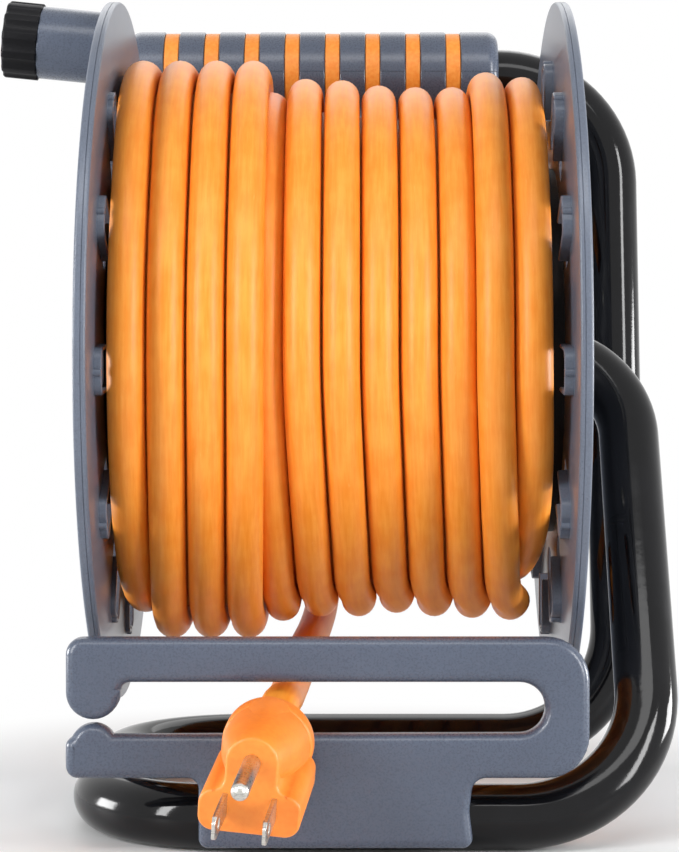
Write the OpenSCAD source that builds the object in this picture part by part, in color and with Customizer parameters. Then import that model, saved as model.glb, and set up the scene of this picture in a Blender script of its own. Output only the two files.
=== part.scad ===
// Extension cord reel: a cord drum that turns on one bent steel tube, which is
// also the stand and the carrying handle. Millimetres. X runs along the axle
// towards the risers, Y to the back and Z up; the stand rests on Z = 0.

/* [Stand] */
// Outside diameter of the steel tube
tube_d = 18; // [17:0.25:19]
// Wall of the steel tube
tube_wall = 1.2; // [0.8:0.1:2]
// Centreline radius of the bends in the stand and handle
bend_r = 38; // [34:0.5:40]
// Centreline radius of the bend into the axle
axle_bend_r = 31; // [28:0.5:32]
// Height of the drum axle above the ground
axle_h = 138; // [136:0.5:144]
// Distance of the front rail from the axle, towards the front
front_rail_y = 82.5; // [80:0.5:85]
// Distance of the rear rail from the axle, towards the back
rear_rail_y = 46; // [42:0.5:50]
// Distance of the handle from the axle, towards the back
handle_y = 83; // [81:0.5:86]
// Height of the handle above the axle
handle_rise = 94.5; // [94:0.5:100]
// Position of the side rail at the crank end
side_rail_x = -65.8; // [-70:0.2:-60]
// Position of the rear riser
rear_riser_x = 93.8; // [92:0.2:98]
// Position of the front riser
front_riser_x = 90.1; // [89:0.1:94]

/* [Handle] */
// Outside diameter of the grip
grip_d = 30; // [28:0.5:31]
// Length of the grip
grip_len = 127; // [124:1:130]
// Position of the closed end of the grip
grip_x = -71.6; // [-72:0.2:-70]
// Rounding of the grip's ends
grip_round = 5; // [3:0.5:5]
// Width of one coloured band
band_w = 5.2; // [4:0.1:6]
// Distance from one band to the next
band_pitch = 13.7; // [13:0.1:14]
// Depth of the groove that holds a band
band_depth = 1.4; // [1:0.1:1.8]
// How far a band's surface lies below the grip's
band_sink = 0.3; // [0.1:0.1:0.5]

/* [Guide] */
// Width of the cord guide
guide_w = 142; // [138:1:144]
// Height of the cord guide
guide_h = 38; // [37:0.5:42]
// Height of the guide's lower edge above the ground
guide_z = 22; // [21:0.5:23]
// Thickness of the guide's plate
guide_t = 7; // [6:0.5:8]
// Height of each of the guide's two bars
guide_bar = 12; // [11:0.5:12.5]
// Corner radius at the guide's closed end
guide_round = 11.5; // [8:0.5:12]
// Gap between the two knobs that close the guide's open end
guide_mouth = 1.2; // [1:0.1:2]
// Width of the saddle on the front rail
saddle_w = 74; // [60:1:80]
// Height of the saddle's lower edge above the ground
saddle_z = 3; // [2:0.5:5]

/* [Drum] */
// Radius of the flanges
flange_r = 107; // [106:0.25:108]
// Distance between the flanges
drum_w = 132; // [131:0.5:133]
// Thickness of a flange
flange_t = 3; // [2.5:0.1:3.3]
// Thickness of a flange's rim
rim_t = 3.6; // [3.5:0.1:4.2]
// Radius of the drum's core
core_r = 56; // [54:0.25:56.5]
// Wall of the drum's core
core_wall = 3; // [2.5:0.1:4]
// Width of one flange window
window_w = 11; // [8:0.5:13]
// Inner radius of the flange windows
window_in = 62; // [61:0.5:68]
// Outer radius of the flange windows
window_out = 87; // [84:0.5:88]
// Height of the lips round the right flange's windows
lip_h = 2.8; // [1:0.1:3]
// Radial clearance of the bushes on the axle
axle_fit = 0.05; // [0.01:0.01:0.1]

/* [Cord] */
// Diameter of the cord
cord_d = 10.5; // [10:0.05:10.6]
// Gap between neighbouring turns
turn_gap = 0.5; // [0.45:0.01:0.5]

/* [Crank knob] */
// Distance from the flange's edge to the middle of the knob's foot
knob_inset = 13.25; // [12.25:0.25:15]
// Length of the knob's barrel
knob_len = 19.3; // [16:0.1:20]
// Diameter of the knob's barrel
knob_d = 22.4; // [20:0.2:22.6]
// Length of the knob's cap
cap_len = 10.9; // [10:0.1:14]
// Diameter of the knob's cap
cap_d = 23.8; // [23.6:0.2:26]
// Diameter of the pin that the knob turns on
pin_d = 8; // [6:0.25:9]
// Radial clearance of the knob on its pin
pin_fit = 0.05; // [0.01:0.01:0.1]

/* [Outlets and breaker] */
// Thickness of the outlet panel
panel_t = 3; // [2.5:0.1:4]
// Radius of the outlet panel
panel_r = 47; // [46:0.25:47.4]
// Outlet spacing across
outlet_dx = 36; // [34:0.5:38]
// Outlet spacing up
outlet_dz = 34; // [32:0.5:36]
// Diameter of an outlet's ground hole
ground_d = 5.2; // [5:0.05:5.4]
// Diameter of the breaker's button
button_d = 8.6; // [7:0.1:9]
// Travel of the breaker's button
button_travel = 2.5; // [1.5:0.1:3]

/* [Plug] */
// Diameter of the plug's rear disc
plug_disc_d = 24.4; // [22:0.2:26]
// Length from the rear disc's middle to the plug's face
plug_len = 31; // [28:0.5:34]
// Width of the plug's face
plug_w = 26.4; // [25:0.2:28]
// Length of the two flat blades
blade_len = 17.5; // [16:0.1:18]

/* [Hidden] */
$fn = 64;

steel_black = [0.04, 0.04, 0.05];
slate = [0.35, 0.38, 0.45];
orange = [0.96, 0.5, 0.12];
dark = [0.08, 0.08, 0.09];
zinc = [0.72, 0.72, 0.7];
nylon = [0.9, 0.89, 0.85];
brass = [0.8, 0.62, 0.28];

// The drum's middle stands a little towards the risers, which puts the crank
// knob and the rear riser at equal distances from X = 0.
drum_x = 1.6;
tube_r = tube_d / 2;
// The risers meet the base in a fine groove, like that of a swaged joint.
joint_depth = 0.15;
joint_gap = 0.4;
joint_reach = 0.6;
rail_z = tube_r;
cut = 1;

// ---- Stand ----------------------------------------------------------------

front_rise = axle_h - rail_z;
front_lean = atan2(front_rail_y, front_rise);
front_riser_len = round(1000 * norm([front_rail_y, front_rise])) / 1000;
handle_z = axle_h + handle_rise;
rear_rise = handle_z - rail_z;
rear_lean = atan2(handle_y - rear_rail_y, rear_rise);
rear_riser_len = round(1000 * norm([handle_y - rear_rail_y, rear_rise])) / 1000;
grip_wall_end = 3;
handle_end_x = grip_x + grip_wall_end;
// Along the axle, positions are counted from the drum's middle.
flange_in = drum_w / 2;
flange_out = flange_in + flange_t;
bush_len = 10;
bush_wall = 3;
bush_flange_t = 1.5;
bush_flange_r = tube_r + 5.5;
right_bush_u = 46;
left_bush_u = -30;
end_play = 0.3;
axle_end_u = left_bush_u - bush_flange_t - end_play;

module bar_x(r, x0, x1) {
    translate([x0, 0, 0]) rotate([0, 90, 0]) cylinder(r = r, h = x1 - x0);
}

// A quarter bend in the plane of X and Y, from the X side to the Y side.
module elbow(r, bend) {
    rotate_extrude(angle = 90) translate([bend, 0]) circle(r = r);
}

// The groove at the end of a base rail, where a riser's bend begins.
module joint(r, x) {
    bar_x(r - joint_depth, x - joint_gap - joint_reach, x + joint_reach);
}

// The rear of the tube in its own leaning plane: rear rail, riser and handle.
module rear_run(r, extra) {
    translate([0, rear_rail_y, rail_z]) rotate([-rear_lean, 0, 0]) {
        translate([rear_riser_x, 0, bend_r]) cylinder(r = r, h = rear_riser_len - 2 * bend_r);
        translate([rear_riser_x - bend_r, 0, bend_r]) rotate([90, 0, 0]) rotate([0, 0, -90]) elbow(r, bend_r);
        translate([rear_riser_x - bend_r, 0, rear_riser_len - bend_r]) rotate([90, 0, 0]) elbow(r, bend_r);
        translate([0, 0, rear_riser_len]) bar_x(r, handle_end_x - extra, rear_riser_x - bend_r);
    }
}

// The base loop: rear rail, side rail and front rail on the ground.
module base_run(r) {
    translate([0, rear_rail_y, rail_z]) {
        bar_x(r, side_rail_x + bend_r, rear_riser_x - bend_r - joint_gap);
        joint(r, rear_riser_x - bend_r);
    }
    translate([side_rail_x + bend_r, rear_rail_y - bend_r, rail_z]) rotate([0, 0, 90]) elbow(r, bend_r);
    translate([side_rail_x, bend_r - front_rail_y, rail_z]) rotate([-90, 0, 0])
        cylinder(r = r, h = rear_rail_y + front_rail_y - 2 * bend_r);
    translate([side_rail_x + bend_r, bend_r - front_rail_y, rail_z]) rotate([0, 0, 180]) elbow(r, bend_r);
    translate([0, -front_rail_y, rail_z]) {
        bar_x(r, side_rail_x + bend_r, front_riser_x - bend_r - joint_gap);
        joint(r, front_riser_x - bend_r);
    }
}

// The front of the tube in its own leaning plane: riser, and axle at its top.
module front_run(r, extra) {
    translate([0, -front_rail_y, rail_z]) rotate([-front_lean, 0, 0]) {
        translate([front_riser_x - bend_r, 0, bend_r]) rotate([90, 0, 0]) rotate([0, 0, -90]) elbow(r, bend_r);
        translate([front_riser_x, 0, bend_r]) cylinder(r = r, h = front_riser_len - bend_r - axle_bend_r);
        translate([front_riser_x - axle_bend_r, 0, front_riser_len - axle_bend_r]) rotate([90, 0, 0])
            elbow(r, axle_bend_r);
        translate([0, 0, front_riser_len])
            bar_x(r, drum_x + axle_end_u - extra, front_riser_x - axle_bend_r);
    }
}

module tube_run(r, extra) {
    rear_run(r, extra);
    base_run(r);
    front_run(r, extra);
}

saddle_x = 2;
guide_screw_dx = 44;
guide_screw_r = 2;
guide_back = -front_rail_y - tube_r + 0.5;
guide_front = guide_back - guide_t;

module at_guide_screws() {
    for (side = [-1, 1])
        translate([saddle_x + side * guide_screw_dx / 2, -front_rail_y, rail_z]) children();
}

module frame_tube() color(steel_black) {
    difference() {
        tube_run(tube_r, 0);
        tube_run(tube_r - tube_wall, cut);
        at_guide_screws() rotate([90, 0, 0])
            cylinder(r = guide_screw_r, h = tube_d + 2 * cut, center = true);
    }
}

module handle_plug() color(dark) {
    translate([0, handle_y, handle_z]) bar_x(tube_r - tube_wall, handle_end_x, handle_end_x + 14);
}

module on_axle() {
    translate([drum_x, 0, axle_h]) rotate([0, 90, 0]) children();
}

// A stretch of a round piece on the axle, from one axial position to another.
module ring_u(u0, u1, r_out, r_in = 0) {
    translate([0, 0, u0]) difference() {
        cylinder(r = r_out, h = u1 - u0);
        if (r_in > 0) translate([0, 0, -cut]) cylinder(r = r_in, h = u1 - u0 + 2 * cut);
    }
}

collar_t = 5;
collar_u = right_bush_u + bush_flange_t + end_play;
bolt_r = 4;
washer_t = 2;
bolt_head_t = 5;
axle_plug_len = 18;

module thrust_collar() color(zinc) on_axle() ring_u(collar_u, collar_u + collar_t, bush_flange_r, tube_r);

module axle_plug() color(zinc) on_axle()
    ring_u(axle_end_u, axle_end_u + axle_plug_len, tube_r - tube_wall, bolt_r);

module axle_washer() color(zinc) on_axle()
    ring_u(axle_end_u - washer_t, axle_end_u, bush_flange_r, bolt_r);

module axle_bolt() color(zinc) on_axle() {
    ring_u(axle_end_u - washer_t, axle_end_u + axle_plug_len - 2, bolt_r);
    translate([0, 0, axle_end_u - washer_t - bolt_head_t]) cylinder(r = 7.5, h = bolt_head_t, $fn = 6);
}

// ---- Handle grip ----------------------------------------------------------

grip_fit = 0.1;
band_count = 8;
first_band = 15.6;
grip_screw_r = 1.4;
grip_screw_y = 11.7;
grip_screw_seat = 5.5;
grip_screw_head = 2;
grip_screw_top = 5;

module along_grip() {
    translate([grip_x, handle_y, handle_z]) rotate([0, 90, 0]) children();
}

// Half outline of the grip, turned round its own length.
module grip_outline() {
    r = grip_d / 2;
    square([r, grip_len - 2 * grip_round]);
    translate([0, -grip_round]) square([r - grip_round, grip_len]);
    for (end = [0, grip_len - 2 * grip_round]) intersection() {
        translate([r - grip_round, end]) circle(r = grip_round);
        translate([0, end - grip_round]) square([r, 2 * grip_round]);
    }
}

module band_rings(r_in, r_out) {
    for (i = [0 : band_count - 1])
        translate([0, 0, first_band + i * band_pitch - band_w / 2]) difference() {
            cylinder(r = r_out, h = band_w);
            translate([0, 0, -cut]) cylinder(r = r_in, h = band_w + 2 * cut);
        }
}

module at_grip_screws() {
    for (x = [first_band + 0.5 * band_pitch, first_band + 6.5 * band_pitch])
        for (side = [-1, 1])
            translate([grip_x + x, handle_y + side * grip_screw_y, handle_z]) children();
}

module grip_solid() {
    difference() {
        along_grip() difference() {
            translate([0, 0, grip_round]) rotate_extrude() grip_outline();
            translate([0, 0, grip_wall_end]) cylinder(r = tube_r + grip_fit, h = grip_len);
            band_rings(grip_d / 2 - band_depth, grip_d / 2 + cut);
        }
        at_grip_screws() {
            translate([0, 0, -grip_screw_seat - cut]) cylinder(r = grip_screw_r, h = grip_screw_top + grip_screw_seat + cut);
            translate([0, 0, -grip_d]) cylinder(r = 2.7, h = grip_d - grip_screw_seat);
        }
    }
}

module grip_half(up) {
    intersection() {
        grip_solid();
        translate([grip_x - cut, handle_y - grip_d, up ? handle_z : handle_z - grip_d])
            cube([grip_len + 2 * cut, 2 * grip_d, grip_d]);
    }
}

module grip_upper() color(slate) grip_half(true);

module grip_lower() color(slate) grip_half(false);

module grip_bands() color(orange) along_grip()
    band_rings(grip_d / 2 - band_depth, grip_d / 2 - band_sink);

module grip_screws() color(zinc) at_grip_screws() {
    translate([0, 0, -grip_screw_seat]) cylinder(r = grip_screw_r, h = grip_screw_seat + grip_screw_top);
    translate([0, 0, -grip_screw_seat - grip_screw_head]) cylinder(r = 2.5, h = grip_screw_head);
}

// ---- Cord guide -----------------------------------------------------------

slot_low = guide_z + guide_bar;
slot_high = guide_z + guide_h - guide_bar;
slot_r = (slot_high - slot_low) / 2;
slot_mid = slot_low + slot_r;
// Both knobs at the open end reach towards each other across the slot.
upper_knob_r = 7.1;
lower_knob_r = 5.8;
knob_x = -guide_w / 2 + upper_knob_r;
upper_knob_low = slot_low + 2.6 + guide_mouth;
lower_knob_top = slot_low + 2.6;
guide_end_round = 4;

// A rectangle with two corner radii: one at its left end, one at its right.
module round_bar(x0, z0, x1, z1, r_left, r_right) {
    translate([x0 + r_left, z0]) square([x1 - x0 - r_left - r_right, z1 - z0]);
    translate([x0, z0 + r_left]) square([r_left, z1 - z0 - 2 * r_left]);
    translate([x1 - r_right, z0 + r_right]) square([r_right, z1 - z0 - 2 * r_right]);
    for (z = [z0 + r_left, z1 - r_left]) translate([x0 + r_left, z]) circle(r = r_left);
    for (z = [z0 + r_right, z1 - r_right]) translate([x1 - r_right, z]) circle(r = r_right);
}

// The concave corner that fills the angle between two edges.
module inside_corner(r, sx, sz) {
    difference() {
        translate([sx > 0 ? 0 : -r, sz > 0 ? 0 : -r]) square(r);
        translate([sx * r, sz * r]) circle(r = r);
    }
}

module guide_outline() {
    half = guide_w / 2;
    difference() {
        round_bar(-half, guide_z, half, guide_z + guide_h, guide_end_round, guide_round);
        translate([-half - cut, slot_low]) square([guide_w - guide_bar - slot_r + cut, 2 * slot_r]);
        translate([half - guide_bar - slot_r, slot_mid]) circle(r = slot_r);
    }
    translate([knob_x, upper_knob_low + upper_knob_r]) circle(r = upper_knob_r);
    translate([knob_x - upper_knob_r, upper_knob_low + upper_knob_r])
        square([2 * upper_knob_r, slot_high - upper_knob_low - upper_knob_r + cut]);
    translate([knob_x + upper_knob_r, slot_high]) inside_corner(4, 1, -1);
    translate([knob_x, lower_knob_top - lower_knob_r]) circle(r = lower_knob_r);
}

module saddle_outline() {
    left = saddle_x - saddle_w / 2;
    right = saddle_x + saddle_w / 2;
    round_bar(left, saddle_z, right, guide_z + 3, 3, 3);
    translate([left, guide_z - 3]) square([saddle_w, 4]);
    translate([left, guide_z]) inside_corner(3, -1, -1);
    translate([right, guide_z]) inside_corner(3, 1, -1);
}

module upright(y_back, t) {
    translate([0, y_back, 0]) rotate([90, 0, 0]) linear_extrude(t) children();
}

module cord_guide() color(slate) {
    difference() {
        union() {
            upright(guide_back, guide_t) guide_outline();
            upright(-front_rail_y, guide_t + tube_r - 0.5) saddle_outline();
        }
        translate([0, -front_rail_y, rail_z]) bar_x(tube_r, -guide_w, guide_w);
        at_guide_screws() rotate([90, 0, 0]) cylinder(r = guide_screw_r, h = tube_r + 4.5);
    }
}

module guide_screws() color(zinc) at_guide_screws() rotate([90, 0, 0]) {
    translate([0, 0, -tube_r]) cylinder(r = guide_screw_r, h = tube_d + 4);
    translate([0, 0, -tube_r - 2.4]) cylinder(r = 4, h = 2.4);
}

// ---- Drum -----------------------------------------------------------------

web_t = 4;
sleeve_r = tube_r + 6.5;
bush_r = tube_r + bush_wall;
bush_bore = tube_r + axle_fit;
flange_screw_count = 6;
flange_screw_orbit = core_r - core_wall - 2.5;
flange_screw_r = 2;
flange_screw_len = 15;
boss_r = 4;
left_opening = 44;
right_opening = 20;
window_count = 12;
window_pitch = 360 / window_count;
window_first = -4;
window_round = 3;
lip_wall = 1.2;
// The lips stand only outside the layers of cord that touch the flanges. The
// left flange's are lower, as shares of lip_h, where the first turn is close.
lip_start = 71;
right_lips = [for (i = [1 : window_count]) 1];
left_lips = [0.8, 0.8, 0.6, 0, 0.3, 0.3, 0.3, 0.3, 0.3, 0.5, 0.5, 0.8];
rim_w = 8.6;
rim_round = 0.8;
knob_clock = 92.4;
first_screw_clock = 30;
lead_clock = first_screw_clock + 3.5 * 360 / flange_screw_count;
lead_u = -55;

// Clock angles are counted from the front of the drum, upwards and over.
module at_clock(angle, r) {
    rotate([0, 0, -90 - angle]) translate([r, 0, 0]) children();
}

module at_flange_screws() {
    for (i = [0 : flange_screw_count - 1]) at_clock(first_screw_clock + i * 360 / flange_screw_count, flange_screw_orbit)
        children();
}

module drum_core() color(slate) on_axle() difference() {
    union() {
        ring_u(-flange_in, flange_in, core_r, core_r - core_wall);
        ring_u(right_bush_u - web_t, right_bush_u, core_r - core_wall / 2, sleeve_r - 1);
        ring_u(left_bush_u, left_bush_u + web_t, core_r - core_wall / 2, sleeve_r - 1);
        ring_u(left_bush_u, right_bush_u, sleeve_r, bush_bore + 1);
        for (u = [-flange_in, flange_in - flange_screw_len])
            at_flange_screws() translate([0, 0, u]) cylinder(r = boss_r, h = flange_screw_len);
    }
    ring_u(left_bush_u - cut, left_bush_u + bush_len, bush_r);
    ring_u(right_bush_u - bush_len, right_bush_u + cut, bush_r);
    for (u = [-flange_in - cut, flange_in - flange_screw_len + 3])
        at_flange_screws() translate([0, 0, u]) cylinder(r = flange_screw_r, h = flange_screw_len - 3 + cut);
    at_clock(lead_clock, core_r - core_wall - cut) translate([0, 0, lead_u]) rotate([0, 90, 0])
        cylinder(r = cord_d / 2 + 0.5, h = core_wall + 2 * cut);
}

module flange_outline(opening) {
    translate([opening, flange_in]) square([flange_r - rim_w / 2 - opening, flange_t]);
    round_bar(flange_r - rim_w, flange_in, flange_r, flange_in + rim_t, rim_round, rim_round);
    translate([core_r - 1, flange_in]) square([3, rim_t]);
}

module window_outline(grow) {
    r = window_round + grow;
    x0 = window_in - grow;
    x1 = window_out + grow;
    w = window_w + 2 * grow;
    translate([0, -w / 2]) round_bar(x0, 0, x1, w, r, r);
}

// One flange, made for the riser side. lips gives each window's share of lip_h,
// and where it is 0 there is no window.
module flange(opening, lips) {
    difference() {
        union() {
            rotate_extrude() flange_outline(opening);
            for (i = [0 : window_count - 1])
                if (lips[i] > 0)
                    at_clock(window_first + i * window_pitch, 0) translate([0, 0, flange_in - lip_h * lips[i]])
                        intersection() {
                            linear_extrude(lip_h + cut) window_outline(lip_wall);
                            translate([lip_start, -window_w, 0]) cube([window_out, 2 * window_w, lip_h * lips[i] + cut]);
                        }
            for (i = [0 : window_count - 1])
                at_clock(window_first + (i + 0.5) * window_pitch, core_r) translate([0, -1.2, flange_in + flange_t / 2])
                    cube([flange_r - rim_w / 2 - core_r, 2.4, rim_t - flange_t / 2]);
        }
        for (i = [0 : window_count - 1])
            if (lips[i] > 0)
                at_clock(window_first + i * window_pitch, 0) translate([0, 0, flange_in - lip_h - cut])
                    linear_extrude(lip_h + rim_t + 2 * cut) window_outline(0);
        at_flange_screws() translate([0, 0, flange_in - cut]) cylinder(r = flange_screw_r, h = rim_t + 2 * cut);
    }
}

knob_tilt = 5.7;
knob_orbit = flange_r - knob_inset;
boss_h = 4;
knob_gap = 0.4;

// The crank's own frame: its Z axis runs outwards along the tilted pin.
module on_crank() {
    translate([drum_x - flange_out, -knob_orbit * cos(knob_clock), axle_h + knob_orbit * sin(knob_clock)])
        rotate([0, knob_tilt - 90, 0]) children();
}

module left_flange() color(slate) difference() {
    union() {
        on_axle() mirror([0, 0, 1]) flange(left_opening, left_lips);
        on_crank() translate([0, 0, -flange_t / 2]) cylinder(r = knob_d / 2 - 1, h = boss_h + flange_t / 2);
    }
    on_crank() translate([0, 0, -flange_t - cut]) cylinder(r = pin_d / 2, h = flange_t + boss_h + 2 * cut);
}

module right_flange() color(slate) on_axle() flange(right_opening, right_lips);

module flange_screws() color(zinc) on_axle() for (side = [0, 1]) mirror([0, 0, side]) at_flange_screws() {
    translate([0, 0, flange_out - flange_screw_len]) cylinder(r = flange_screw_r, h = flange_screw_len);
    translate([0, 0, flange_out]) cylinder(r = 3, h = 2);
}

module left_bush() color(nylon) on_axle() {
    ring_u(left_bush_u - bush_flange_t, left_bush_u, bush_flange_r, bush_bore);
    ring_u(left_bush_u, left_bush_u + bush_len, bush_r, bush_bore);
}

module right_bush() color(nylon) on_axle() {
    ring_u(right_bush_u, right_bush_u + bush_flange_t, bush_flange_r, bush_bore);
    ring_u(right_bush_u - bush_len, right_bush_u, bush_r, bush_bore);
}

// ---- Wound cord -----------------------------------------------------------

// Height of each turn above the core, in cord diameters, where it passes over
// the top and under the bottom. Turn 5 sinks between its neighbours at the
// front. The last turn sinks under the one before it, and dives on past the bottom.
over_top = [2.67, 2.67, 2.67, 2.67, 2.67, 1.75, 2.14, 2.1, 1.95, 1.9, 1.9, 2.33, 2.19];
under_bottom = [1.86, 1.86, 2.62, 2.62, 2.62, 2.14, 2, 2, 1.9, 2, 2.05, 2.1, 0.95];
end_dive = 0.5;
turn_count = 12;
first_turn_u = cord_d / 2 + 1.25 - flange_in;
last_turn_u = flange_in - cord_d / 2 - 4.25;
rings_per_turn = 24;
turn_sides = 6;
winding_first_ring = 14;
winding_last_ring = 303;

function ease(t) = let (s = min(1, max(0, t))) s * s * (3 - 2 * s);
function mix(a, b, t) = a + (b - a) * t;
function unit(v) = v / norm(v);
function turn_height(h) = core_r + cord_d * h;

// A turn keeps its height from the top to the front, changes it on the way
// down, and moves over to the next turn's height on its way up the back.
function turn_r(k, a) = a <= 180
    ? mix(turn_height(over_top[k]), turn_height(under_bottom[k]), ease((a - 90) / 90))
    : mix(turn_height(under_bottom[k]), turn_height(k < turn_count ? over_top[k + 1] : end_dive),
        ease((a - 180) / (k < turn_count ? 180 : 60)));

// Side by side, two turns lie one cord and one gap apart, centre to centre.
function turn_step(k, a) = sqrt(max(0, pow(cord_d + turn_gap, 2) - pow(turn_r(k + 1, a) - turn_r(k, a), 2)));
function steps_to(k, a) = k <= 1 ? 0 : turn_step(k - 1, a) + steps_to(k - 1, a);

// The end turns lean inwards at the front, and the last one once more below.
function first_u(a) = first_turn_u + (a < 90 ? 1.9 * ease(a / 65) : mix(1.9, 0.8, ease((a - 90) / 90)));
function last_u(a) = last_turn_u + (a < 90 ? -0.9 * ease(a / 65)
    : mix(mix(-0.9, -0.1, ease((a - 90) / 30)), -3, ease((a - 130) / 40)));

// What is left between the flanges is shared by the gaps: twelve turns lie
// across the front and eleven across the back.
function front_share(a) = (last_u(a) - first_u(a) - steps_to(turn_count, a)) / (turn_count - 1);
function front_u(k, a) = first_u(a) + steps_to(k, a) + (k - 1) * front_share(a);
function back_left(t) = mix(first_u(180), front_u(2, 0), ease(t));
function back_right(t) = mix(front_u(turn_count - 1, 180), last_u(0), ease(t));
function back_share(a, t) = (back_right(t) - back_left(t) - steps_to(turn_count - 1, a)) / (turn_count - 2);
function back_u(k, a, t) = back_left(t) + steps_to(k, a) + (k - 1) * back_share(a, t);

// Before the first turn, the cord climbs along the flange from under that turn.
function start_r(a) =
    turn_r(1, a) - sqrt(max(0, pow(cord_d + turn_gap, 2) - pow(back_left((a - 180) / 180) - first_turn_u, 2)));
function wound_r(k, a) = k == 0 ? start_r(a) : turn_r(k, a);
function wound_u(k, a) = k == 0 ? first_turn_u : a <= 180 ? front_u(k, a) : back_u(k, a, (a - 180) / 180);

function winding_point(i) = let (
    whole = i * 360 / rings_per_turn,
    k = floor(whole / 360),
    a = whole - 360 * k,
    r = wound_r(k, a))
    [drum_x + wound_u(k, a), -r * sin(a), axle_h + r * cos(a)];

winding_route = [for (i = [winding_first_ring : winding_last_ring]) winding_point(i)];

// The least gap of the wound cord to itself, over all pairs of neighbouring turns.
least_gap = min([for (i = [0 : len(winding_route) - 1])
    for (j = [i + rings_per_turn / 2 : min(len(winding_route) - 1, i + rings_per_turn * 3 / 2)])
        norm(winding_route[i] - winding_route[j])]) - cord_d;
echo(least_gap_of_winding = least_gap);

function tangent(route, i) =
    unit(route[min(i + 1, len(route) - 1)] - route[max(i - 1, 0)]);
function ring_points(centre, along, r, sides) = let (
    a = unit(cross(along, [1, 0, 0])),
    b = cross(along, a))
    [for (s = [0 : sides - 1]) centre + r * (cos(360 * s / sides) * a + sin(360 * s / sides) * b)];

// A round tube along a route, closed at both ends, all faces triangles.
module swept_tube(route, r, sides) {
    last = len(route) - 1;
    points = [for (i = [0 : last]) for (p = ring_points(route[i], tangent(route, i), r, sides)) p];
    walls = [for (i = [0 : last - 1]) for (s = [0 : sides - 1]) let (
        a = i * sides + s,
        b = i * sides + (s + 1) % sides)
        each [[a, b, a + sides], [b, b + sides, a + sides]]];
    caps = [for (s = [1 : sides - 2])
        each [[0, s + 1, s], [last * sides, last * sides + s, last * sides + s + 1]]];
    polyhedron(points = points, faces = concat(walls, caps));
}

module cord_winding() color(orange) swept_tube(winding_route, cord_d / 2, turn_sides);

// The layers below: steps that follow the turns that lie on them.
layer_top = [1.28, 2.05, 1.1, 1.32, 0.14];
layer_end = [front_u(2, 0), front_u(4, 180), front_u(6, 0), front_u(11, 0), flange_in];

module cord_core() color(orange) on_axle() rotate_extrude() for (i = [0 : len(layer_top) - 1]) {
    start = i == 0 ? -flange_in : layer_end[i - 1];
    translate([core_r, start]) square([cord_d * layer_top[i], layer_end[i] - start]);
}

// ---- Outlets and breaker --------------------------------------------------

housing_r = left_opening - 0.4;
housing_wall = 2.5;
housing_back = -43;
panel_in = -flange_out;
panel_face = panel_in - panel_t;
pad_r = 14;
pad_h = 1.2;
slot_dx = 12.7;
ground_drop = 11.9;
slot_rise = 4;
slot_h = 8;
slot_w = 2;
panel_screw_orbit = 38.5;
panel_screw_r = 1.5;
breaker_w = 13;
breaker_back = panel_in + 17;
button_fit = 0.1;
button_flange_r = button_d / 2 + 0.6;
button_flange_t = 1.5;
button_rest = 0.2;
button_proud = 3.5;
spring_base = panel_in + 12;
lead_in_r = housing_r - housing_wall;
bus_depth = panel_in + 18.7;
bus_cross = outlet_dz / 2 + 10.5;

// A place on the outlet panel: across towards the back, and up.
module on_panel(across, up) {
    translate([-up, across, 0]) children();
}

module at_outlets() {
    for (across = [-outlet_dx / 2, outlet_dx / 2]) for (up = [-outlet_dz / 2, outlet_dz / 2])
        on_panel(across, up) children();
}

module at_panel_screws() {
    for (i = [0 : 3]) at_clock(i * 90, panel_screw_orbit) children();
}

module outlet_panel() color(dark) on_axle() difference() {
    union() {
        ring_u(panel_face, panel_in, panel_r);
        at_outlets() ring_u(panel_face - pad_h, panel_face, pad_r);
    }
    at_outlets() translate([0, 0, panel_face - pad_h - cut]) {
        for (side = [-1, 1]) on_panel(side * slot_dx / 2, slot_rise) translate([-slot_h / 2, -slot_w / 2, 0])
            cube([slot_h, slot_w, panel_t + pad_h + 2 * cut]);
        on_panel(0, slot_rise - ground_drop) cylinder(r = ground_d / 2, h = panel_t + pad_h + 2 * cut);
    }
    ring_u(panel_face - cut, panel_in + cut, button_d / 2 + button_fit);
    at_panel_screws() ring_u(panel_face - cut, panel_in + cut, panel_screw_r);
}

module outlet_housing() color(slate) on_axle() difference() {
    union() {
        ring_u(panel_in, housing_back, housing_r, housing_r - housing_wall);
        ring_u(housing_back - housing_wall, housing_back, housing_r - 1);
        ring_u(-flange_in, -flange_in + 2, left_opening + 2, housing_r - 1);
        at_panel_screws() ring_u(panel_in, housing_back - 1, 3.2);
    }
    at_panel_screws() ring_u(panel_in - cut, panel_in + 13, panel_screw_r);
    at_clock(lead_clock, housing_r - housing_wall - cut) translate([0, 0, lead_u]) rotate([0, 90, 0])
        cylinder(r = cord_d / 2 + 1.5, h = housing_wall + 2 * cut);
}

module panel_screws() color(zinc) on_axle() at_panel_screws() {
    ring_u(panel_face, panel_in + 13, panel_screw_r);
    ring_u(panel_face - 1.8, panel_face, 3);
}

// A bus bar with a leaf beside each of its four slots. side is +1 for the slot
// towards the back of an outlet, -1 for the one towards the front.
module bus_bar(side, depth, cross_up) {
    bar = 5;
    t = 1;
    for (across = [-outlet_dx / 2, outlet_dx / 2]) {
        column = across + side * slot_dx / 2;
        for (up = [-outlet_dz / 2, outlet_dz / 2])
            on_panel(column + side * (slot_w / 2 + 0.8), up + slot_rise) translate([-3.5, -t / 2, panel_in + 2])
                cube([7, t, depth - panel_in - 2 + t]);
        on_panel(column, 0) translate([-30, -bar / 2, depth]) cube([60, bar, t]);
    }
    on_panel(side * slot_dx / 2, cross_up) translate([-bar / 2, -outlet_dx / 2, depth]) cube([bar, outlet_dx, t]);
}

module line_bus() color(brass) on_axle() bus_bar(1, bus_depth, bus_cross);

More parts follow.
